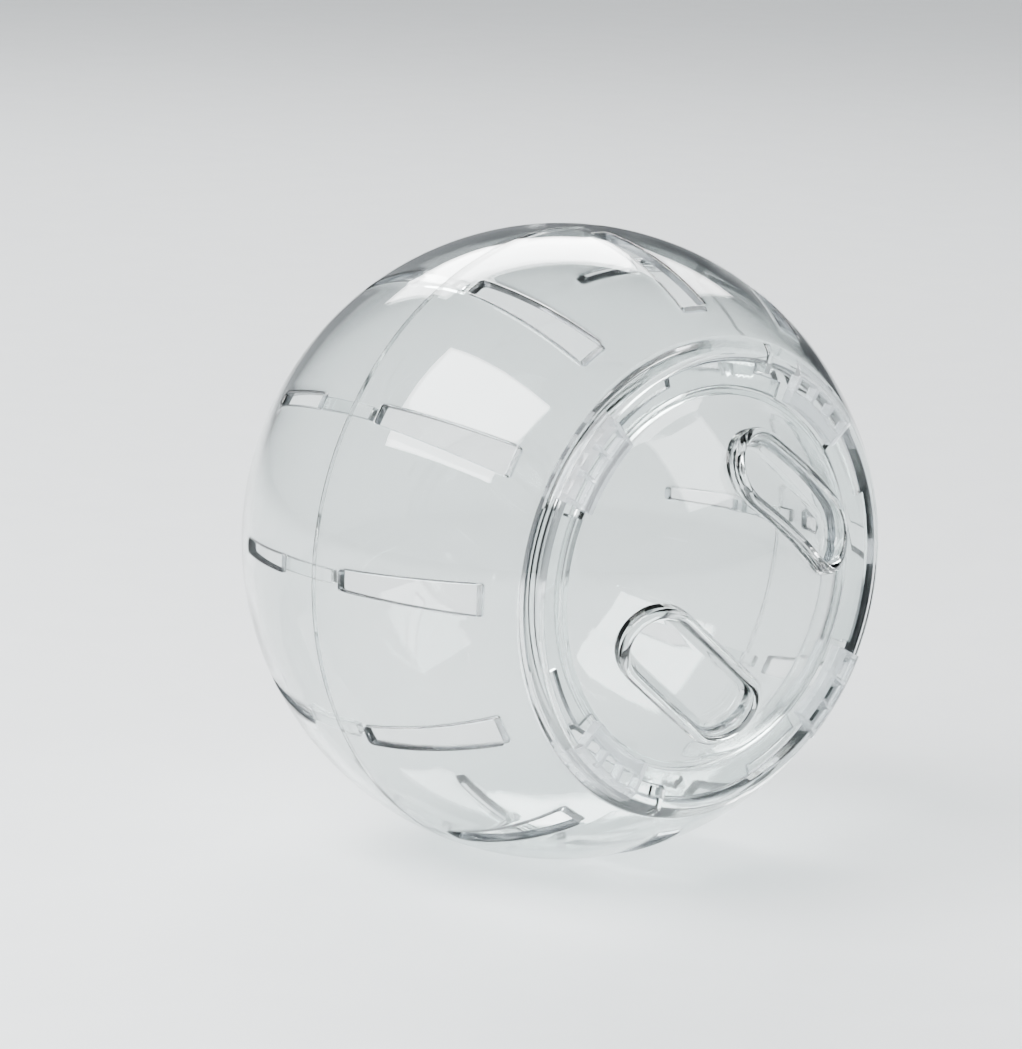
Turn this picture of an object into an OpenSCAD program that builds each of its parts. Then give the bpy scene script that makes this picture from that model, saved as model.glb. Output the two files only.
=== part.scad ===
// Small-pet exercise ball: two clear half shells that snap together on a seam, and a domed door that drops
// into a round opening and twists to lock. Millimetres. The door faces -Y, the seam is the XZ plane and the
// ball's centre is the origin. Every module is drawn with the door's axis along +Z and is stood up by stand().

/* [Ball] */
// outside diameter of the ball
ball_d = 127; // [110:1:150]
// thickness of the shells' wall
shell_t = 1.8; // [1.4:0.1:2.6]
// gap left between the two shells at the seam
seam_gap = 0.1; // [0.05:0.05:0.3]

/* [Air slots] */
// number of slots round each shell
slots = 12; // [8:1:16]
// height above the seam where a front slot starts
slot_z0 = 7.4; // [6:0.2:10]
// height of the plain wall between a front slot's end and the collar's rim
slot_land = 9.4; // [8:0.2:20]
// width of a front slot at its seam end
slot_w0 = 3.8; // [2.5:0.1:5]
// width of a front slot at its door end
slot_w1 = 6; // [4:0.1:7]
// depth below the seam where a rear slot starts
rear_z0 = 9.6; // [8:0.2:14]
// depth below the seam where a rear slot ends
rear_z1 = 28; // [20:0.5:36]
// width of a rear slot at its far end
rear_w1 = 2.4; // [1.8:0.1:4]

/* [Snap tongues] */
// thickness of a snap tongue
tongue_t = 1.2; // [0.9:0.1:1.8]
// width of a snap tongue
tongue_w = 2.6; // [2:0.1:3.4]
// height above the seam where a tongue leaves the front shell's wall
tongue_root = 4.4; // [3.5:0.1:6]
// how far the barb hangs below the rear slot's edge
barb_h = 2; // [1.2:0.1:3]
// how far the barb stands into the rear slot
barb_t = 1.3; // [0.8:0.1:1.7]
// gap round the tongue and its barb
tongue_gap = 0.15; // [0.1:0.05:0.3]
// gap between a barb and each side of the rear slot that it hooks into
barb_gap = 0.2; // [0.15:0.05:0.5]

/* [Door opening] */
// radius of the collar, where it meets the front shell
collar_r = 45; // [42:0.5:46]
// thickness of the collar's upright wall
collar_t = 1.6; // [1.2:0.1:2.2]
// thickness of the seat
seat_t = 1.5; // [1.2:0.1:2]
// depth of the seat's face below the collar's rim
seat_drop = 2.75; // [2.6:0.05:3]

/* [Keepers and stops] */
// number of keepers round the collar
keepers = 4; // [3:1:5]
// angle of the first keeper, seen from the door's side
keeper_a = 52; // [40:1:60]
// length of a keeper round the collar
keeper_l = 18.4; // [14:0.2:20]
// how far a keeper reaches in from the collar's wall
keeper_reach = 5.7; // [5.2:0.1:6.4]
// how far a keeper laps over the shell outside the collar
keeper_lap = 0.8; // [0.4:0.1:1]
// how far a keeper stands proud of the ball
keeper_h = 0.4; // [0.2:0.1:0.6]
// thickness of a keeper's plate
keeper_t = 2.4; // [1.8:0.1:2.8]
// number of open cells in a keeper
cells = 3; // [2:1:4]
// width of a keeper's open cells, across the ring
cell_w = 3.1; // [2:0.1:3.4]
// thickness of the ribs between the cells
cell_rib = 1.1; // [0.8:0.1:1.6]
// number of stop ribs
stops = 2; // [1:1:2]
// angle from a keeper to the stop rib beside it
stop_a = 22.5; // [21:0.5:24]
// thickness of a stop rib
stop_t = 1.4; // [1:0.1:1.8]
// gap between a stop rib and the door's rim
stop_gap = 0.3; // [0.3:0.05:0.5]
// how far a stop rib stands above the shell outside the collar
stop_h = 0.5; // [0.3:0.1:0.8]
// how far a stop rib reaches over the shell outside the collar
stop_reach = 2; // [1:0.1:3]

/* [Door] */
// gap between the lugs and the collar's wall
lug_gap = 0.4; // [0.3:0.1:1]
// how far the lugs stand out from the door's flat rim
lug_reach = 2; // [1.6:0.1:2.6]
// thickness of the door's flat rim and of its dome
door_t = 1.5; // [1.2:0.1:1.9]
// gap between a keeper's inner edge and the notch that passes it
notch_clear = 0.5; // [0.4:0.1:0.7]
// sideways gap between a keeper and the notch that passes it
notch_gap = 1.4; // [0.8:0.1:1.6]
// angle from a keeper to the far end of the lug beside it
lug_end = 56.5; // [54:0.5:58]
// angle that a short lug spans, beside a keeper with a stop rib
short_lug = 32; // [26:0.5:32]
// angle that a long lug spans, beside a keeper with no stop rib
long_lug = 41.5; // [32:0.5:42]
// gap between the keeper's plate and the rim that turns below it
keeper_gap = 0.35; // [0.3:0.05:0.6]
// gap between the rim and its seat
seat_gap = 0.1; // [0.05:0.05:0.2]
// outside radius of the door's dome
dome_r = 54.5; // [52:0.5:80]
// width of the flat rim between a notch and the dome's foot
dome_inset = 0.7; // [0.2:0.1:1.2]
// radius of the fillet between the rim and the dome
dome_fillet = 6; // [3:0.5:8]
// gap between the skirt and the seat round it
skirt_gap = 0.4; // [0.3:0.1:1.4]
// thickness of the skirt
skirt_t = 1.4; // [1.2:0.1:1.8]
// height of the skirt
skirt_h = 3.6; // [2:0.2:5]

/* [Finger wells] */
// number of finger wells
wells = 2; // [1:1:2]
// distance from the dome's foot in to the middle of each well
well_inset = 15.9; // [14.6:0.1:17.6]
// length of a well over its bead
well_l = 39; // [32:0.2:41]
// width of a well over its bead
well_w = 17; // [14:0.2:18]
// width of the bead round a well
bead_w = 2.1; // [1.6:0.1:2.6]
// height of the bead above the dome
bead_h = 1.8; // [1:0.1:2.4]
// depth of a well's floor below the dome
well_depth = 2.6; // [2:0.1:4]
// how far a well's wall leans in from its mouth to its floor
well_lean = 1.5; // [0.8:0.1:2]

/* [Quality] */
// facets on a full circle
$fn = 96; // [48:8:160]

/* [Hidden] */
over = ball_d;
ball_r = ball_d / 2;
inner_r = ball_r - shell_t;
clear_c = [0.86, 0.92, 0.93, 0.35];
door_c = [0.80, 0.88, 0.90, 0.35];
bore_r = collar_r - collar_t;
collar_mid = collar_r - collar_t / 2;
collar_z = ball_x(ball_r, collar_r);
slot_z1 = collar_z - slot_land;
rear_w0 = tongue_w + 2 * barb_gap;
seat_z = collar_z - seat_drop;
rim_z0 = seat_z + seat_gap;
rim_z1 = rim_z0 + door_t;
keeper_r0 = bore_r - keeper_reach;
keeper_r1 = collar_r + keeper_lap;
keeper_z0 = rim_z1 + keeper_gap;
keeper_z1 = keeper_z0 + keeper_t;
keeper_foot = ball_x(inner_r, keeper_r1);
keeper_arc = arc_of(keeper_l, bore_r);
lug_r = bore_r - lug_gap;
rim_r = lug_r - lug_reach;
notch_r = keeper_r0 - notch_clear;
skirt_r = notch_r;
seat_r = skirt_r + skirt_gap;
notch_arc = arc_of(notch_gap, rim_r);
dome_foot_r = notch_r - dome_inset;
dome_z = rim_z1 - sqrt(pow(dome_r, 2) - pow(dome_foot_r, 2));
fillet_z = rim_z1 + dome_fillet;
fillet_x = sqrt(pow(dome_r + dome_fillet, 2) - pow(fillet_z - dome_z, 2));
tongue_r1 = inner_r - tongue_gap;
tongue_r0 = tongue_r1 - tongue_t;
well_off = dome_foot_r - well_inset;
mouth_l = well_l - 2 * bead_w;
mouth_w = well_w - 2 * bead_w;
lean_share = well_lean / well_depth;
well_tilt = asin(well_off / dome_r);
well_z0 = -2 * well_depth - door_t;
well_z1 = 3 * bead_h;

// angle that an arc of a given length spans at a given radius
function arc_of(length, r) = length / r * 180 / PI;

// radius of a circle of the ball at a height above the seam
function ball_x(r, z) = sqrt(r * r - z * z);

// turns the door's axis from +Z to -Y
module stand() rotate([90, 0, 0]) children();

// copies its children round the door's axis
module around(count, first = 0) for (i = [0 : count - 1]) rotate(first + i * 360 / count) children();

// a sector of a ring, from radius r0 to r1, centred on +X
module sector(r0, r1, arc, z0, z1)
    rotate(-arc / 2) rotate_extrude(angle = arc) translate([r0, z0]) square([r1 - r0, z1 - z0]);

// a half ball shell above the seam plane
module half_ball(r1, r0, z0 = 0) difference() {
    sphere(r1);
    sphere(r0);
    translate([-over, -over, z0 - 2 * over]) cube(2 * over);
}

// a slot cutter along a meridian, wider or narrower at its far end
module slot_cut(z0, z1, w0, w1)
    translate([ball_r / 2, 0, 0]) rotate([90, 0, 90]) linear_extrude(ball_r)
        polygon([[-w0 / 2, z0], [w0 / 2, z0], [w1 / 2, z1], [-w1 / 2, z1]]);

// one snap tongue: a strip inside the shells, with a barb that stands out into the rear slot
module tongue() intersection() {
    rotate([90, 0, 0]) translate([0, 0, -tongue_w / 2]) linear_extrude(tongue_w) difference() {
        union() {
            intersection() {
                circle(inner_r + shell_t / 2);
                translate([ball_r / 2, 0]) square([ball_r, tongue_root]);
            }
            intersection() {
                circle(tongue_r1);
                translate([ball_r / 2, -rear_z0 - barb_h]) square([ball_r, rear_z0 + barb_h + tongue_root]);
            }
            intersection() {
                circle(tongue_r1 + barb_t);
                translate([ball_r / 2, -rear_z0 - barb_h]) square([ball_r, barb_h - tongue_gap]);
            }
        }
        circle(tongue_r0);
    }
    sphere(ball_r);
}

module front_shell() color(clear_c) stand() {
    difference() {
        half_ball(ball_r, inner_r);
        cylinder(r = collar_r, h = over);
        around(slots) slot_cut(slot_z0, slot_z1, slot_w0, slot_w1);
        around(keepers, keeper_a) sector(bore_r, keeper_r1, keeper_arc, 0, over);
        around(stops, keeper_a + stop_a) stop_rib();
    }
    around(slots) tongue();
}

module rear_shell() color(clear_c) stand() mirror([0, 0, 1]) difference() {
    half_ball(ball_r, inner_r, seam_gap);
    around(slots) slot_cut(rear_z0, rear_z1, rear_w0, rear_w1);
}

// one keeper: a plate that bridges the ring, with a row of open cells over the lugs' channel
module keeper() {
    pitch = (keeper_l - cell_rib) / cells;
    difference() {
        intersection() {
            rotate(-keeper_arc / 2) rotate_extrude(angle = keeper_arc) polygon([
                [keeper_r0, keeper_z0], [keeper_r0, keeper_z1], [keeper_r1, keeper_z1],
                [keeper_r1, keeper_foot], [collar_mid, keeper_foot], [collar_mid, keeper_z0]
            ]);
            sphere(ball_r + keeper_h);
        }
        for (i = [0 : cells - 1]) rotate(arc_of((i - (cells - 1) / 2) * pitch, bore_r))
            translate([bore_r - cell_w, -(pitch - cell_rib) / 2, keeper_z0 - keeper_t])
                cube([cell_w, pitch - cell_rib, 3 * keeper_t]);
    }
}

// one stop rib: a bar across the lugs' channel that runs out into the shell
module stop_rib() intersection() {
    translate([rim_r + stop_gap, -stop_t / 2, seat_z])
        cube([collar_r + stop_reach - rim_r - stop_gap, stop_t, collar_z + stop_h - seat_z]);
    sphere(ball_r + stop_h);
}

module door_collar() color(clear_c) stand() {
    rotate_extrude() polygon([
        [seat_r, seat_z - seat_t], [collar_r, seat_z - seat_t], [collar_r, collar_z],
        [bore_r, collar_z], [bore_r, seat_z], [seat_r, seat_z]
    ]);
    around(keepers, keeper_a) keeper();
    around(stops, keeper_a + stop_a) stop_rib();
}

// everything under a dome of radius r that runs out to a flat rim through a fillet
module dome_area(r, fillet) {
    share = r / (r + fillet);
    intersection() {
        translate([0, dome_z]) circle(r);
        translate([0, fillet_z - fillet]) square(r);
    }
    difference() {
        polygon([[0, fillet_z - fillet], [fillet_x, fillet_z - fillet], [fillet_x, fillet_z],
            [fillet_x * share, dome_z + (fillet_z - dome_z) * share]]);
        translate([fillet_x, fillet_z]) circle(fillet);
    }
}

// the door's section, one even wall: flat rim, fillet and dome
module door_section() difference() {
    union() {
        dome_area(dome_r, dome_fillet);
        translate([0, rim_z0]) square([rim_r, door_t]);
    }
    dome_area(dome_r - door_t, dome_fillet + door_t);
}

// a straight-sided oval prism that leans out by lean for each unit of height; l and w are its size at zero
module oval(l, w, z0, z1, lean = 0) {
    span = l - w;
    for (side = [-1, 1]) translate([0, side * span / 2, z0])
        cylinder(r1 = w / 2 + lean * z0, r2 = w / 2 + lean * z1, h = z1 - z0);
    rotate([90, 0, 0]) translate([0, 0, -span / 2]) linear_extrude(span) polygon([
        [-w / 2 - lean * z0, z0], [w / 2 + lean * z0, z0], [w / 2 + lean * z1, z1], [-w / 2 - lean * z1, z1]
    ]);
}

// a shell between two spheres about the dome's centre
module dome_shell(r1, r0) translate([0, 0, dome_z]) difference() {
    sphere(r1);
    sphere(r0);
}

// places its children on the dome where each finger well is, with +Z out of the dome
module at_wells() around(wells, keeper_a) translate([0, 0, dome_z]) rotate([0, well_tilt, 0])
    translate([0, 0, dome_r]) children();

// one lug on the rim, which ends at lug_end
module lug(arc) rotate(lug_end - arc / 2) sector(rim_r - lug_reach / 2, lug_r, arc, rim_z0, rim_z1);

module door() color(door_c) stand() difference() {
    union() {
        rotate_extrude() door_section();
        for (i = [0 : keepers - 1]) rotate(keeper_a + i * 360 / keepers) lug(i % 2 == 0 ? short_lug : long_lug);
        intersection() {
            at_wells() oval(well_l, well_w, well_z0, well_z1);
            dome_shell(dome_r + bead_h, dome_r - door_t);
        }
        intersection() {
            at_wells() oval(mouth_l + 2 * door_t, mouth_w + 2 * door_t, well_z0, 0, lean_share);
            dome_shell(dome_r, dome_r - well_depth - door_t);
        }
    }
    difference() {
        at_wells() oval(mouth_l, mouth_w, well_z0, well_z1, lean_share);
        translate([0, 0, dome_z]) sphere(dome_r - well_depth);
    }
    around(keepers, keeper_a) sector(notch_r, 2 * rim_r, keeper_arc + 2 * notch_arc, 0, over);
}

module door_skirt() color(door_c) stand()
    translate([0, 0, seat_z - skirt_h]) difference() {
        cylinder(r = skirt_r, h = skirt_h);
        cylinder(r = skirt_r - skirt_t, h = 3 * skirt_h, center = true);
    }

front_shell();
rear_shell();
door_collar();
door_skirt();
door();
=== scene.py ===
"""Clear small-pet exercise ball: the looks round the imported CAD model.

Lengths are in millimetres in the door's own frame, with the door's axis along +Z, until place() turns them
into the shared frame in metres.
"""

import math

import bmesh
import bpy
from mathutils import Matrix, Vector


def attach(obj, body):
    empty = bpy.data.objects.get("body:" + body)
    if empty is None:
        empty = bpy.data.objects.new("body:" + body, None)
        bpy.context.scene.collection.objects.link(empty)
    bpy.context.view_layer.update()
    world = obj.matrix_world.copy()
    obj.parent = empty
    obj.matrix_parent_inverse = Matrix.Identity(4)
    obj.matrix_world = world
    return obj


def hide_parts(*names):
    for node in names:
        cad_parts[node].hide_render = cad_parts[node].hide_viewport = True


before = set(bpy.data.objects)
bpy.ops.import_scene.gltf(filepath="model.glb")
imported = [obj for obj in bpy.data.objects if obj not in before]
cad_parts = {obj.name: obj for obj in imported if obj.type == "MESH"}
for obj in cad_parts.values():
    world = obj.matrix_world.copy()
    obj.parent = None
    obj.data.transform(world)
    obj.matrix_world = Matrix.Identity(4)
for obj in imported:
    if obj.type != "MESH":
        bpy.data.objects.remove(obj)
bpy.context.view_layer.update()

# shells, as in the CAD source
BALL_R = 63.5
INNER_R = 61.7
SEAM_GAP = 0.1
SLOTS = 12
SLOT_Z0, SLOT_W0, SLOT_W1 = 7.4, 3.8, 6.0
REAR_Z0, REAR_Z1 = 9.6, 28.0
REAR_W0, REAR_W1 = 3.0, 2.4

# snap tongues
TONGUE_ROOT, TONGUE_W = 4.4, 2.6
TONGUE_R0, TONGUE_R1 = 60.35, 61.55
TONGUE_SEAM = 0.05
BARB_Z0, BARB_Z1, BARB_R = -11.6, -9.75, 62.85
BARB_RAMP, BARB_LIP = 0.35, 0.3

# collar and its seat
COLLAR_R, BORE_R, SEAT_R = 45.0, 43.4, 37.6
COLLAR_Z = math.sqrt(BALL_R**2 - COLLAR_R**2)
SLOT_Z1 = COLLAR_Z - 9.4
SEAT_Z = COLLAR_Z - 2.75
SEAT_UNDER = SEAT_Z - 1.5

# door rim, lugs and notches
DOOR_T = 1.5
RIM_Z0 = SEAT_Z + 0.1
RIM_Z1 = RIM_Z0 + DOOR_T
RIM_R, NOTCH_R, LUG_R = 41.0, 37.2, 43.0
NOTCH_HALF = 14.1
LUG_END, SHORT_LUG, LONG_LUG = 56.5, 32.0, 41.5
LUG_CORNER = 0.5
SKIRT_R, SKIRT_T, SKIRT_H = 37.2, 1.4, 3.6

# keepers and stop ribs
KEEPERS, KEEPER_A, KEEPER_ARC = 4, 52.0, 24.29
KEEPER_R0, KEEPER_R1, KEEPER_ROOT_R = 37.7, 45.8, 44.2
KEEPER_MID_R = 40.0
KEEPER_Z0 = RIM_Z1 + 0.35
KEEPER_Z1 = KEEPER_Z0 + 2.4
KEEPER_SPHERE = 63.9
KEEPER_FOOT = math.sqrt(INNER_R**2 - KEEPER_R1**2)
CELLS, CELL_PITCH = 3, 5.767
CELL_L, CELL_W = 4.667, 3.1
STOPS, STOP_A, STOP_T = 2, 22.5, 1.4
STOP_X0, STOP_X1 = 41.3, 47.0
STOP_SPHERE = 64.0
STOP_TOP = COLLAR_Z + 0.5
STOP_ROOT = SEAT_Z - 0.4

# dome and its fillet
DOME_R, DOME_FOOT_R, FILLET = 54.5, 36.5, 6.0
DOME_Z = RIM_Z1 - math.sqrt(DOME_R**2 - DOME_FOOT_R**2)
FILLET_Z = RIM_Z1 + FILLET
FILLET_X = math.sqrt((DOME_R + FILLET) ** 2 - (FILLET_Z - DOME_Z) ** 2)

# finger wells
WELL_OFF, MOUTH_L, MOUTH_W = 20.6, 34.8, 12.8
BEAD_W, BEAD_H, BEAD_ROUND = 2.1, 1.8, 0.9
WELL_DEPTH, WELL_INWARD = 2.6, 1.5
WELL_CORNER, WELL_CORNER_IN = 0.55, 0.33
LEAN = WELL_INWARD / WELL_DEPTH
WELL_CROWN_R = 80.0

# mesh density
SLOT_COLUMNS, WALL_COLUMNS = 4, 12
SHELL_ROW, TONGUE_ROW, RIM_STEP = 2.2, 1.3, 1.6
POLE_GAP = 0.06
POLE_COLUMNS_R = 12
MAX_SLOT_SINE = 0.2
DOOR_STEPS, FLOOR_STEPS = 168, 64
DOME_ROWS, FILLET_ROWS = 24, 6
NOTCH_STEPS = 20
CAP_STEPS, SIDE_STEPS, BEAD_STEPS = 18, 14, 10
WELD_GAP, MERGE_GAP = 0.001, 0.002

# edge rounding
SHELL_EDGE, DOOR_EDGE = 0.42, 0.25
KEEPER_EDGE, STOP_EDGE, TONGUE_EDGE = 0.2, 0.22, 0.16
COARSE, FINE = 2, 3
SEAM_EDGE_SHARE, SEAM_NEAR = 0.1, 0.02
BEVEL_ANGLE = math.radians(32)
SHARP_ANGLE = math.radians(38)

# finishes: the least and the greatest roughness of each
POLISHED = (0.015, 0.075)
MOULDED = (0.12, 0.26)
GRAINED = (0.1, 0.26)
STYRENE_IOR = 1.57
LAMP_SHADE = (0.82, 0.835, 0.835)

# camera, from the fit to the photograph
PHOTO_W, PHOTO_H = 1022, 1049
BALL_X_PX, BALL_Y_PX = 560, 541
FOCAL_PX = 5006
CAMERA_AZIMUTH, CAMERA_ELEVATION, CAMERA_ROLL = -42.1, 11.2, 2.5
CAMERA_DISTANCE = 1.0
SENSOR = 36.0

# in metres: a millimetre, and the floor's rings and its gap below the ball
MM = 0.001
FLOOR_RINGS = (1.0, 3.0, 9.0)
FLOOR_DROP = 0.0001


def ball_x(r, z):
    """The radius of a sphere's circle at height z."""
    return math.sqrt(max(r * r - z * z, 0))


def on_ball(r, z):
    """The point of a sphere's outline at height z."""
    return (ball_x(r, z), z)


def polar(r, degrees, z):
    """The point at a radius, an angle and a height."""
    a = math.radians(degrees)
    return (r * math.cos(a), r * math.sin(a), z)


def spread(first, last, count):
    """count + 1 numbers from first to last."""
    return [first + (last - first) * i / count for i in range(count + 1)]


def latitude_rows(r, z0, z1, step=SHELL_ROW):
    """Heights on a sphere from z0 to z1, evenly spaced along it."""
    a, b = math.asin(z0 / r), math.asin(z1 / r)
    return [r * math.sin(x) for x in spread(a, b, max(1, round(abs(b - a) * r / step)))]


# mesh tools
def loft(rings, loop=False, caps=(None, None), skip=()):
    """Points and quads between neighbouring closed rings.

    caps closes the first and the last ring on a point each, and skip leaves out single (row, column) quads.
    """
    count = len(rings[0])
    points = [p for ring in rings for p in ring]
    faces = []
    for row in range(len(rings) if loop else len(rings) - 1):
        here = row * count
        after = (row + 1) % len(rings) * count
        for column in range(count):
            if (row, column) not in skip:
                beside = (column + 1) % count
                faces.append((here + column, here + beside, after + beside, after + column))
    for cap, row in zip(caps, (0, len(rings) - 1)):
        if cap is not None:
            points.append(cap)
            here = row * count
            for column in range(count):
                faces.append((here + column, here + (column + 1) % count, len(points) - 1))
    return points, faces


def make(name, points, faces):
    """A mesh object whose faces look outward."""
    mesh = bpy.data.meshes.new(name)
    mesh.from_pydata(points, [], faces)
    bm = bmesh.new()
    bm.from_mesh(mesh)
    bmesh.ops.recalc_face_normals(bm, faces=bm.faces)
    bm.to_mesh(mesh)
    bm.free()
    obj = bpy.data.objects.new(name, mesh)
    bpy.context.scene.collection.objects.link(obj)
    return obj


def bar(name, paths):
    """A solid bar whose corners run along open paths, each given in order round the bar's section."""
    count, sides = len(paths[0]), len(paths)
    points = [p for path in paths for p in path]
    ends = (0, count - 1)
    faces = [tuple(i * count + end for i in range(sides)) for end in ends]
    for i in range(sides):
        after = (i + 1) % sides
        for j in range(count - 1):
            faces.append((i * count + j, i * count + j + 1, after * count + j + 1, after * count + j))
    return make(name, points, faces)


def weld(obj):
    """Joins points that coincide, so a ring that has closed up on a line leaves no gap."""
    bm = bmesh.new()
    bm.from_mesh(obj.data)
    bmesh.ops.remove_doubles(bm, verts=bm.verts, dist=WELD_GAP)
    bmesh.ops.recalc_face_normals(bm, faces=bm.faces)
    bm.to_mesh(obj.data)
    bm.free()
    return obj


def apply_modifiers(obj):
    """Turns what the modifiers make into the object's own mesh."""
    graph = bpy.context.evaluated_depsgraph_get()
    mesh = bpy.data.meshes.new_from_object(obj.evaluated_get(graph))
    obj.modifiers.clear()
    old = obj.data
    obj.data = mesh
    bpy.data.meshes.remove(old)
    return obj


def round_edges(obj, width, steps, seam=None):
    """Rounds the sharp edges. Those at the height of the seam, if it is given, stay crisper."""
    bm = bmesh.new()
    bm.from_mesh(obj.data)
    weights = bm.edges.layers.float.new("bevel_weight_edge")
    for edge in bm.edges:
        if len(edge.link_faces) == 2 and edge.calc_face_angle(0) > BEVEL_ANGLE:
            at_seam = seam is not None and all(abs(v.co.z - seam) < SEAM_NEAR for v in edge.verts)
            edge[weights] = SEAM_EDGE_SHARE if at_seam else 1
    bm.to_mesh(obj.data)
    bm.free()
    bevel = obj.modifiers.new("round", "BEVEL")
    bevel.width = width
    bevel.segments = steps
    bevel.limit_method = "WEIGHT"
    bevel.miter_outer = "MITER_ARC"
    return apply_modifiers(obj)


def check_closed(obj):
    """Raises if a mesh has an open or doubled edge, which the Boolean would pass over in silence."""
    bm = bmesh.new()
    bm.from_mesh(obj.data)
    loose = sum(len(edge.link_faces) != 2 for edge in bm.edges)
    bm.free()
    if loose:
        raise ValueError(f"{obj.name} has {loose} edges that don't join two faces")


def combine(obj, others, operation="UNION"):
    """obj united with, or cut by, the other closed meshes, which are used up."""
    for other in [obj, *others]:
        check_closed(other)
    for other in others:
        boolean = obj.modifiers.new("combine", "BOOLEAN")
        boolean.operation = operation
        boolean.solver = "MANIFOLD"
        boolean.object = other
    apply_modifiers(obj)
    for other in others:
        mesh = other.data
        bpy.data.objects.remove(other)
        bpy.data.meshes.remove(mesh)
    return obj


def turned(obj, degrees):
    """The object, turned about the door's axis."""
    obj.data.transform(Matrix.Rotation(math.radians(degrees), 4, "Z"))
    return obj


def copies(build, count, first=0.0):
    """count pieces round the door's axis."""
    return [turned(build(), first + i * 360 / count) for i in range(count)]


# shells
def shell_columns(rho, width):
    """Angles of all columns at radius rho, where the slots are width wide."""
    edge = math.degrees(math.asin(min(width / 2 / rho, MAX_SLOT_SINE)))
    pitch = 360 / SLOTS
    one = spread(-edge, edge, SLOT_COLUMNS)[:-1] + spread(edge, pitch - edge, WALL_COLUMNS)[:-1]
    return [i * pitch + a for i in range(SLOTS) for a in one]


def slot_width(z, z0, z1, w0, w1):
    """How wide a slot is at height z, where it goes from w0 at z0 to w1 at z1."""
    share = min(max((z - z0) / (z1 - z0), 0), 1)
    return w0 + (w1 - w0) * share


def slot_faces(count, outer, inner, rows, faces, skip):
    """Opens the slots between the outer and inner rows: skips their faces and adds the slots' walls."""
    per = SLOT_COLUMNS + WALL_COLUMNS
    for slot in range(SLOTS):
        columns = [slot * per + i for i in range(SLOT_COLUMNS + 1)]
        for row in range(rows):
            for column in columns[:-1]:
                skip.add((outer[row], column))
                skip.add((inner[row + 1], column))
            corners = (outer[row], outer[row + 1], inner[row + 1], inner[row])
            for column in (columns[0], columns[-1]):
                faces.append(tuple(corner * count + column for corner in corners))
        for row in (0, rows):
            near, far = outer[row] * count, inner[row] * count
            for column in columns[:-1]:
                faces.append((near + column, near + column + 1, far + column + 1, far + column))


def front_shell():
    """The front half with its collar and seat, one closed profile turned round the axis, with open slots."""
    low = latitude_rows(BALL_R, 0, SLOT_Z0)[:-1]
    slot = latitude_rows(BALL_R, SLOT_Z0, SLOT_Z1)
    outer_z = low + slot + latitude_rows(BALL_R, SLOT_Z1, COLLAR_Z)[1:]
    inner_top = latitude_rows(INNER_R, SLOT_Z1, SEAT_UNDER)[1:]
    inner_z = inner_top[::-1] + slot[::-1] + low[::-1]

    def ring(r, z):
        width = slot_width(z, SLOT_Z0, SLOT_Z1, SLOT_W0, SLOT_W1)
        return [polar(r, a, z) for a in shell_columns(r, width)]

    rings = [ring(ball_x(BALL_R, z), z) for z in outer_z]
    bore = [(BORE_R, COLLAR_Z), (BORE_R, SEAT_Z)]
    seat = [(SEAT_R, SEAT_Z), (SEAT_R, SEAT_UNDER), (BORE_R, SEAT_UNDER)]
    rings += [ring(r, z) for r, z in bore + seat]
    first_inner = len(rings)
    rings += [ring(ball_x(INNER_R, z), z) for z in inner_z]

    rows = len(slot) - 1
    outer = [len(low) + i for i in range(rows + 1)]
    inner = [first_inner + len(inner_top) + rows - i for i in range(rows + 1)]
    walls, skip = [], set()
    slot_faces(len(rings[0]), outer, inner, rows, walls, skip)
    points, faces = loft(rings, loop=True, skip=skip)
    return round_edges(make("front_half", points, faces + walls), SHELL_EDGE, FINE, seam=0)


def rear_shell():
    """The rear half: two cups joined along the seam and by the slots' walls."""
    low = latitude_rows(BALL_R, SEAM_GAP, REAR_Z0)[:-1]
    slot = latitude_rows(BALL_R, REAR_Z0, REAR_Z1)
    outer_z = low + slot + latitude_rows(BALL_R, REAR_Z1, BALL_R - POLE_GAP)[1:]
    inner_z = (low + slot + latitude_rows(INNER_R, REAR_Z1, INNER_R - POLE_GAP)[1:])[::-1]

    def ring(r, z):
        width = slot_width(z, REAR_Z0, REAR_Z1, REAR_W0, REAR_W1)
        return [polar(r, a, -z) for a in shell_columns(max(r, POLE_COLUMNS_R), width)]

    rings = [ring(ball_x(INNER_R, z), z) for z in inner_z]
    rings += [ring(ball_x(BALL_R, z), z) for z in outer_z]
    rows = len(slot) - 1
    outer = [len(inner_z) + len(low) + i for i in range(rows + 1)]
    inner = [len(inner_z) - 1 - len(low) - i for i in range(rows + 1)]
    walls, skip = [], set()
    slot_faces(len(rings[0]), outer, inner, rows, walls, skip)
    points, faces = loft(rings, caps=((0, 0, -INNER_R), (0, 0, -BALL_R)), skip=skip)
    return round_edges(make("rear_half", points, faces + walls), SHELL_EDGE, FINE, seam=-SEAM_GAP)


# collar fittings
def cell_cutter(number):
    """A box through the keeper's plate, for one of its open cells."""
    low, high = KEEPER_Z0 - 1, KEEPER_Z1 + 1
    inner, outer = BORE_R - CELL_W, BORE_R - 0.1
    corners = ((inner, low), (outer, low), (outer, high), (inner, high))
    box = bar("cell_cutter", [[(x, side * CELL_L / 2, z) for side in (-1, 1)] for x, z in corners])
    return turned(box, math.degrees((number - (CELLS - 1) / 2) * CELL_PITCH / BORE_R))


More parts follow.
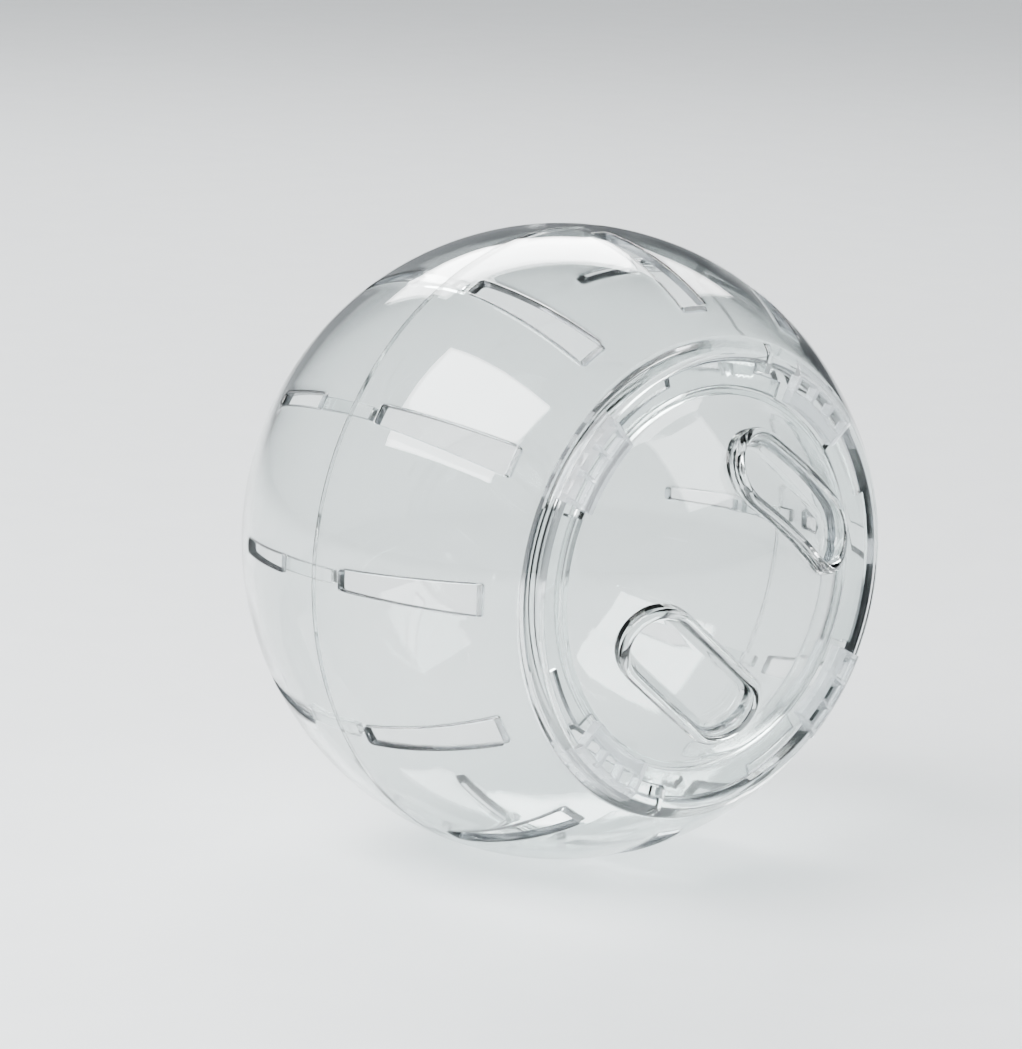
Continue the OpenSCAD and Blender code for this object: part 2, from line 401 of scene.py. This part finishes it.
def keeper():
    """A keeper: the plate over the lugs' channel with its open cells, and its foot in the collar's wall."""
    shoulder = ball_x(KEEPER_SPHERE, KEEPER_Z1)
    profile = [(KEEPER_R0, KEEPER_Z0), (KEEPER_R0, KEEPER_Z1), (KEEPER_MID_R, KEEPER_Z1)]
    profile += [(r, ball_x(KEEPER_SPHERE, r)) for r in spread(shoulder, KEEPER_R1, 2)]
    profile += [(KEEPER_R1, KEEPER_FOOT), (KEEPER_ROOT_R, KEEPER_FOOT), (KEEPER_ROOT_R, KEEPER_Z0)]
    pitch = math.degrees(CELL_PITCH / BORE_R)
    angles = [-KEEPER_ARC / 2, *spread(-pitch, pitch, 4), KEEPER_ARC / 2]
    plate = bar("keeper", [[polar(r, a, z) for a in angles] for r, z in profile])
    combine(plate, [cell_cutter(i) for i in range(CELLS)], "DIFFERENCE")
    return round_edges(plate, KEEPER_EDGE, COARSE)


def slab(name, outline, half_width):
    """A closed outline in the plane of the axis, (x, z), made half_width thick each way."""
    count = len(outline)
    points = [(x, side * half_width, z) for side in (-1, 1) for x, z in outline]
    faces = [tuple(range(count)), tuple(range(count, 2 * count))]
    faces += [(i, (i + 1) % count, count + (i + 1) % count, count + i) for i in range(count)]
    return make(name, points, faces)


def stop_rib():
    """A rib that stops the lugs. Its top follows a sphere just over the shell."""
    shoulder = ball_x(STOP_SPHERE, STOP_TOP)
    curve = [(x, ball_x(STOP_SPHERE, x)) for x in spread(shoulder, STOP_X1, 3)]
    outline = [(STOP_X0, STOP_ROOT), (STOP_X0, STOP_TOP), *curve, (STOP_X1, SEAT_Z)]
    return round_edges(slab("stop_rib", outline, STOP_T / 2), STOP_EDGE, COARSE)


def tongue():
    """A snap tongue: a strip that follows the inside of the wall, with its barb."""
    inside = [on_ball(TONGUE_R0, z) for z in latitude_rows(TONGUE_R0, BARB_Z0, TONGUE_ROOT, TONGUE_ROW)]
    middle = (INNER_R + BALL_R) / 2
    outside = [on_ball(middle, z) for z in spread(TONGUE_ROOT, TONGUE_SEAM, 3)]
    outside += [on_ball(TONGUE_R1, z) for z in spread(TONGUE_SEAM, BARB_Z1, 7)]
    outside += [(BARB_R - BARB_RAMP, BARB_Z1)]
    outside += [on_ball(BARB_R, z) for z in (BARB_Z1 - BARB_LIP, BARB_Z0)]
    return round_edges(slab("tongue", inside + outside, TONGUE_W / 2), TONGUE_EDGE, COARSE)


# door
def rim_piece(number):
    """The flat rim between two notches, with its lug."""
    lug = SHORT_LUG if number % 2 == 0 else LONG_LUG
    turn = KEEPER_A + number * 360 / KEEPERS
    stops = (NOTCH_HALF, LUG_END - lug, LUG_END, 360 / KEEPERS - NOTCH_HALF)
    outer, inner = [], []
    for i, r in enumerate((RIM_R, LUG_R, RIM_R)):
        arc = math.radians(stops[i + 1] - stops[i]) * r
        angles = spread(stops[i], stops[i + 1], max(2, round(arc / RIM_STEP)))
        outer += [(r, turn + a) for a in angles]
        if i > 0:
            angles[0] += LUG_CORNER
        if i < 2:
            angles[-1] -= LUG_CORNER
        inner += [(FILLET_X - 0.5, turn + a) for a in angles]
    corners = ((inner, RIM_Z0), (outer, RIM_Z0), (outer, RIM_Z1), (inner, RIM_Z1))
    piece = bar("rim_piece", [[polar(r, a, z) for r, a in line] for line, z in corners])
    return round_edges(piece, DOOR_EDGE, FINE)


def turn_profile(profile):
    """The rings that a profile of (radius, height) points sweeps round the door's axis."""
    angles = spread(0, 360, DOOR_STEPS)[:-1]
    return [[polar(r, a, z) for a in angles] for r, z in profile]


def dome():
    """The door's dome, which runs out through a fillet at one wall thickness and ends inside the rim."""
    def side(r, fillet, end):
        meet = FILLET_X * (r / (DOME_R + FILLET))
        line = [(x, DOME_Z + ball_x(r, x)) for x in spread(0, meet, DOME_ROWS)[1:]]
        for x in spread(meet, FILLET_X - 0.7, FILLET_ROWS)[1:]:
            line.append((x, FILLET_Z - ball_x(fillet, FILLET_X - x)))
        return line + [(FILLET_X + 0.3, end)]

    inner = DOME_R - DOOR_T
    profile = side(DOME_R, FILLET, RIM_Z1 - 0.03) + side(inner, FILLET + DOOR_T, RIM_Z0 + 0.03)[::-1]
    caps = ((0, 0, DOME_Z + DOME_R), (0, 0, DOME_Z + inner))
    return make("door_lid", *loft(turn_profile(profile), caps=caps))


def notch_cutter():
    """A block that trims the dome's fillet where a keeper passes."""
    low, high, beyond = RIM_Z0 - 2, RIM_Z1 + 4, NOTCH_R + 6
    corners = ((NOTCH_R, low), (beyond, low), (beyond, high), (NOTCH_R, high))
    angles = spread(-NOTCH_HALF, NOTCH_HALF, NOTCH_STEPS)
    return bar("notch_cutter", [[polar(r, a, z) for a in angles] for r, z in corners])


def stadium(offset):
    """Points round the well's mouth, grown by offset: x across it, y along it."""
    r = MOUTH_W / 2 + offset
    span = (MOUTH_L - MOUTH_W) / 2
    right = [(r, y) for y in spread(-span, span, SIDE_STEPS)[:-1]]
    top = [(r * math.cos(a), span + r * math.sin(a)) for a in spread(0, math.pi, CAP_STEPS)[:-1]]
    half = right + top
    return half + [(-x, -y) for x, y in half]


def on_dome(x, y, height, crown=DOME_R):
    """A point at a height above the dome, or above a flatter crown that meets it over the well's middle."""
    return (x, y, math.sqrt((crown + height) ** 2 - x * x - y * y) - crown)


def well_place(first):
    """The turn that takes a well, made over the origin, to its place on the dome."""
    tilt = math.asin(WELL_OFF / DOME_R)
    return (Matrix.Rotation(math.radians(first), 4, "Z") @ Matrix.Translation((0, 0, DOME_Z))
            @ Matrix.Rotation(tilt, 4, "Y") @ Matrix.Translation((0, 0, DOME_R)))


def well_insert(first):
    """A finger well: its rounded bead, drafted wall and floor, closed below by the pocket's underside.

    The bead and the floor are flatter along the well than the dome, which they meet in the wall's thickness.
    """
    def level(offset, height):
        in_wall = -1 < height < 0 and offset > 1
        return [on_dome(x, y, height, DOME_R if in_wall else WELL_CROWN_R) for x, y in stadium(offset)]

    # the top, from the dome's wall over the bead and down to the middle line, as (offset, height)
    bead = [(BEAD_W, -0.7), (BEAD_W, -0.1)]
    for a in spread(0, math.pi, BEAD_STEPS):
        bead.append((BEAD_W / 2 * (1 + math.cos(a)), BEAD_H - BEAD_ROUND * (1 - math.sin(a))))
    wall = [(-LEAN * depth, -depth) for depth in spread(0, WELL_DEPTH - WELL_CORNER, 3)]
    floor = -WELL_DEPTH
    foot = []
    for a in spread(0, math.pi / 2, 3)[1:]:
        left = WELL_CORNER * (1 - math.sin(a))
        turn_in = WELL_CORNER_IN * (1 - math.cos(a))
        foot.append((-WELL_INWARD + LEAN * left - turn_in, floor + left))
    flat = [(-WELL_INWARD - 1.2, floor), (-WELL_INWARD - 2.8, floor), (-MOUTH_W / 2, floor)]

    # the underside, from the middle line back out to the dome's wall
    below = floor - DOOR_T
    heel = DOOR_T - WELL_INWARD
    under = [(x, below) for x, z in flat[::-1]]
    under += [(heel - 1.5, below + 0.05), (heel - 0.9, below + 0.3), (heel - 0.45, below + 0.8)]
    under += [(DOOR_T - LEAN * 1.6, -2.0), (DOOR_T - LEAN * 0.9, -1.2), (DOOR_T - 0.1, -0.7)]
    rings = [level(offset, height) for offset, height in under + bead + wall + foot + flat]
    points, faces = loft(rings[::-1])
    obj = weld(make("well_insert", points, faces))
    obj.data.transform(well_place(first))
    return obj


def well_cutter(first):
    """A prism through the dome, just inside the insert's wall."""
    rings = [[(x, y, z) for x, y in stadium(0.35)] for z in (-9.0, 4.0)]
    count = len(rings[0])
    points, faces = loft(rings)
    faces += [tuple(range(count)), tuple(range(count, 2 * count))]
    obj = make("well_cutter", points, faces)
    obj.data.transform(well_place(first))
    return obj


def door_lid():
    """The door without its skirt: dome, rim, lugs and finger wells."""
    lid = dome()
    combine(lid, copies(notch_cutter, KEEPERS, KEEPER_A), "DIFFERENCE")
    combine(lid, [well_cutter(KEEPER_A), well_cutter(KEEPER_A + 180)], "DIFFERENCE")
    combine(lid, [rim_piece(i) for i in range(KEEPERS)])
    combine(lid, [well_insert(KEEPER_A), well_insert(KEEPER_A + 180)])
    return lid


def door_skirt():
    """The guide ring under the rim."""
    top, foot, inner = SEAT_Z, SEAT_Z - SKIRT_H, SKIRT_R - SKIRT_T
    middle = (top + foot) / 2
    outside = [(SKIRT_R, z) for z in (foot, middle, top)]
    profile = [(inner, foot), *outside, (inner, top), (inner, middle)]
    return round_edges(make("lid_skirt", *loft(turn_profile(profile), loop=True)), DOOR_EDGE, FINE)


# materials
def add_node(tree, kind, **values):
    """A shader node of one kind. Each value goes to the input of that name, where _ stands for a space."""
    made = tree.nodes.new("ShaderNode" + kind)
    for name, value in values.items():
        made.inputs[name.replace("_", " ")].default_value = value
    return made


def noise(tree, place, **values):
    """The grey output of a noise that sits at the given coordinates."""
    made = add_node(tree, "TexNoise", **values)
    tree.links.new(place, made.inputs["Vector"])
    return made.outputs["Fac"]


def blend(tree, share, first, second):
    """The mix of two colours."""
    made = add_node(tree, "Mix")
    made.data_type = "RGBA"
    made.inputs["A"].default_value = (*first, 1)
    made.inputs["B"].default_value = (*second, 1)
    tree.links.new(share, made.inputs["Factor"])
    return made.outputs["Result"]


def clear_plastic(name, tint, waviness, scuff_scale, polish=POLISHED, clarity=1.0):
    """Clear styrene: a faint moulding ripple, fine scuffs that blur the gloss, and lamps reach through it."""
    material = bpy.data.materials.new(name)
    material.use_nodes = True
    tree = material.node_tree
    tree.nodes.clear()
    join = tree.links.new
    plastic = add_node(tree, "BsdfPrincipled", IOR=STYRENE_IOR, Transmission_Weight=clarity)
    place = add_node(tree, "TexCoord").outputs["Object"]

    # colour: the tint pools a little where the melt flowed slowly
    flow = noise(tree, place, Scale=14, Detail=1)
    pooled = [c * 0.975 for c in tint]
    join(blend(tree, flow, tint, pooled), plastic.inputs["Base Color"])

    # roughness: polished, with scuffs and handling haze
    scuff = noise(tree, place, Scale=scuff_scale, Detail=6, Roughness=0.7)
    haze = add_node(tree, "MapRange", From_Min=0.45, From_Max=0.75, To_Min=polish[0], To_Max=polish[1])
    join(scuff, haze.inputs["Value"])
    join(haze.outputs["Result"], plastic.inputs["Roughness"])

    # bump: the long soft ripple of a moulded wall
    ripple = noise(tree, place, Scale=42, Detail=0)
    bump = add_node(tree, "Bump", Strength=1.0, Distance=waviness)
    join(ripple, bump.inputs["Height"])
    join(bump.outputs["Normal"], plastic.inputs["Normal"])

    # lamps reach what is behind the plastic
    path = add_node(tree, "LightPath")
    through = add_node(tree, "BsdfTransparent", Color=(*LAMP_SHADE, 1))
    mix = add_node(tree, "MixShader")
    join(path.outputs["Is Shadow Ray"], mix.inputs["Fac"])
    join(plastic.outputs["BSDF"], mix.inputs[1])
    join(through.outputs["BSDF"], mix.inputs[2])
    join(mix.outputs["Shader"], add_node(tree, "OutputMaterial").inputs["Surface"])
    return material


def floor_paper():
    """Plain pale paper with a fine grain."""
    material = bpy.data.materials.new("floor_paper")
    material.use_nodes = True
    tree = material.node_tree
    plain = tree.nodes["Principled BSDF"]
    plain.inputs["Roughness"].default_value = 0.75
    grain = add_node(tree, "TexNoise", Scale=900).outputs["Fac"]
    paper = blend(tree, grain, (0.64, 0.66, 0.67), (0.68, 0.70, 0.71))
    tree.links.new(paper, plain.inputs["Base Color"])
    return material


# placing the pieces
def in_keeper(centre):
    """Whether a face is on one of the keepers."""
    r = math.hypot(centre.x, centre.y)
    a = math.degrees(math.atan2(centre.y, centre.x)) - KEEPER_A
    pitch = 360 / KEEPERS
    beside = abs((a + pitch / 2) % pitch - pitch / 2)
    return beside < KEEPER_ARC / 2 + 0.1 and r > KEEPER_R0 - 0.1 and centre.z > RIM_Z1


def in_slot_wall(centre):
    """Whether a face is inside the shells' wall at the height of the air slots."""
    in_wall = INNER_R + 0.06 < centre.length < BALL_R - 0.06
    at_front = SLOT_Z0 - 0.4 < centre.z < SLOT_Z1 + 0.4
    at_rear = -REAR_Z1 - 0.4 < centre.z < -REAR_Z0 + 0.4
    return in_wall and (at_front or at_rear)


def in_bore(centre):
    """Whether a face is on the collar's inner wall, over the seat."""
    r = math.hypot(centre.x, centre.y)
    return BORE_R - 0.1 < r < BORE_R + 0.35 and SEAT_Z - 0.1 < centre.z < COLLAR_Z + 0.02


def in_lug(centre):
    """Whether a face is on one of the door's lugs."""
    return math.hypot(centre.x, centre.y) > RIM_R - 0.2 and centre.z < RIM_Z1 + 0.1


def place(obj, material, body, slot, *nodes, regions=()):
    """Turns a finished piece into the shared frame, in metres, with its finish and body, and hides its CAD
    nodes.

    regions holds tests of a face's centre, each with the finish of the faces that pass.
    """
    obj.data.materials.clear()
    obj.data.materials.append(material)
    for test, finish in regions:
        obj.data.materials.append(finish)
    bm = bmesh.new()
    bm.from_mesh(obj.data)
    bmesh.ops.remove_doubles(bm, verts=bm.verts, dist=MERGE_GAP)
    bmesh.ops.recalc_face_normals(bm, faces=bm.faces)
    for face in bm.faces:
        face.smooth = True
        centre = face.calc_center_median()
        passed = [number for number, (test, finish) in enumerate(regions, 1) if test(centre)]
        face.material_index = passed[0] if passed else 0
    for edge in bm.edges:
        edge.smooth = len(edge.link_faces) == 2 and edge.calc_face_angle(0) < SHARP_ANGLE
    bm.to_mesh(obj.data)
    bm.free()
    obj.data.transform(Matrix.Rotation(math.radians(90), 4, "X") @ Matrix.Scale(MM, 4))
    weighted = obj.modifiers.new("even", "WEIGHTED_NORMAL")
    weighted.keep_sharp = True
    weighted.weight = 60
    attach(obj, body)
    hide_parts(*nodes)
    return obj


def build_ball():
    """The clear pieces. Slot walls, bore and lugs are duller than the wall and tinted dark grey as painted
    shade, and the keepers are grained.
    """
    shell = clear_plastic("clear_shell", (0.905, 0.935, 0.93), 0.00006, 160)
    lid = clear_plastic("clear_door", (0.9, 0.93, 0.925), 0.00008, 190)
    grained = clear_plastic("grained_keeper", (0.83, 0.855, 0.875), 0.00005, 320, GRAINED, 0.74)
    # slot walls, bore and lugs: a dark grey tint that is painted shade for the grey bands these clear edges
    # show, with a duller moulded roughness
    edge = clear_plastic("edge_painted_shade", (0.42, 0.45, 0.475), 0.00003, 420, MOULDED, 0.95)
    front = front_shell()
    combine(front, copies(keeper, KEEPERS, KEEPER_A))
    combine(front, copies(stop_rib, STOPS, KEEPER_A + STOP_A))
    combine(front, copies(tongue, SLOTS))
    parts = ((in_keeper, grained), (in_slot_wall, edge), (in_bore, edge))
    place(front, shell, "ball", "clear_shell", "front_shell", "door_collar", regions=parts)
    place(rear_shell(), shell, "ball", "clear_shell", "rear_shell", regions=((in_slot_wall, edge),))
    place(door_lid(), lid, "door", "clear_door", "door", regions=((in_lug, edge),))
    place(door_skirt(), lid, "door_guide", "clear_door", "door_skirt")


# camera, floor and light
def look_along(azimuth, elevation):
    """The direction from the ball's centre to a camera at these angles."""
    a, e = math.radians(azimuth), math.radians(elevation)
    return Vector((math.sin(a) * math.cos(e), -math.cos(a) * math.cos(e), math.sin(e)))


def add_camera():
    """The camera that took the photograph, aimed by shift so that the ball sits where the photo has it."""
    data = bpy.data.cameras.new("camera")
    data.sensor_width = SENSOR
    data.lens = FOCAL_PX / PHOTO_H * SENSOR
    data.shift_x = (PHOTO_W / 2 - BALL_X_PX) / PHOTO_H
    data.shift_y = (BALL_Y_PX - PHOTO_H / 2) / PHOTO_H
    camera = bpy.data.objects.new("camera", data)
    back = look_along(CAMERA_AZIMUTH, CAMERA_ELEVATION)
    right = Vector((math.cos(math.radians(CAMERA_AZIMUTH)), math.sin(math.radians(CAMERA_AZIMUTH)), 0))
    up = back.cross(right)
    roll = math.radians(CAMERA_ROLL)
    across = right * math.cos(roll) + up * math.sin(roll)
    upward = up * math.cos(roll) - right * math.sin(roll)
    turn = Matrix((across, upward, back)).transposed()
    camera.matrix_world = Matrix.Translation(back * CAMERA_DISTANCE) @ turn.to_4x4()
    bpy.context.scene.collection.objects.link(camera)
    bpy.context.scene.camera = camera


def add_floor():
    """A wide disc of pale paper, just under the ball."""
    angles = spread(0, 360, FLOOR_STEPS)[:-1]
    rings = [[polar(r, a, 0) for a in angles] for r in FLOOR_RINGS]
    floor = make("floor", *loft(rings, caps=((0, 0, 0), None)))
    floor.data.transform(Matrix.Translation((0, 0, -BALL_R * MM - FLOOR_DROP)))
    floor.data.materials.append(floor_paper())


def add_area(name, azimuth, elevation, distance, width, height, power):
    """A white soft box that faces the ball. Lengths are in metres and the power is in watts."""
    data = bpy.data.lights.new(name, "AREA")
    data.shape = "RECTANGLE"
    data.size = width
    data.size_y = height
    data.energy = power
    lamp = bpy.data.objects.new(name, data)
    toward = look_along(azimuth, elevation)
    lamp.location = toward * distance
    lamp.rotation_mode = "QUATERNION"
    lamp.rotation_quaternion = toward.to_track_quat("Z", "Y")
    bpy.context.scene.collection.objects.link(lamp)


def add_world():
    """A pale studio that falls off to a dim side on the right and overhead, which clear edges can show."""
    world = bpy.data.worlds.new("studio")
    bpy.context.scene.world = world
    world.use_nodes = True
    tree = world.node_tree
    join = tree.links.new
    place = add_node(tree, "TexCoord")
    along = add_node(tree, "VectorMath")
    along.operation = "DOT_PRODUCT"
    along.inputs[1].default_value = (0.66, -0.6, 0.45)
    fall = add_node(tree, "MapRange", From_Min=-0.75, From_Max=0.7)
    ramp = add_node(tree, "ValToRGB")
    ramp.color_ramp.interpolation = "EASE"
    ramp.color_ramp.elements[0].color = (0.42, 0.44, 0.46, 1)
    ramp.color_ramp.elements[1].color = (0.03, 0.032, 0.036, 1)
    back = tree.nodes["Background"]
    back.inputs["Strength"].default_value = 1.0
    join(place.outputs["Generated"], along.inputs[0])
    join(along.outputs["Value"], fall.inputs["Value"])
    join(fall.outputs["Result"], ramp.inputs["Fac"])
    join(ramp.outputs["Color"], back.inputs["Color"])


def set_look():
    """Enough bounces for light to leave the clear walls, ribs and cells, and a little more contrast."""
    bpy.context.scene.view_settings.look = "AgX - Medium High Contrast"
    cycles = bpy.context.scene.cycles
    cycles.max_bounces = 32
    cycles.transmission_bounces = 32
    cycles.glossy_bounces = 9
    cycles.transparent_max_bounces = 32


add_camera()
build_ball()
add_floor()
add_area("key", azimuth=-95, elevation=48, distance=1.1, width=0.9, height=0.7, power=28)
add_area("fill", azimuth=25, elevation=35, distance=1.6, width=0.8, height=0.8, power=9)
add_area("back", azimuth=150, elevation=40, distance=1.5, width=1.0, height=0.6, power=14)
add_area("far", azimuth=138, elevation=38, distance=4.2, width=3.5, height=1.5, power=90)
add_world()
set_look()
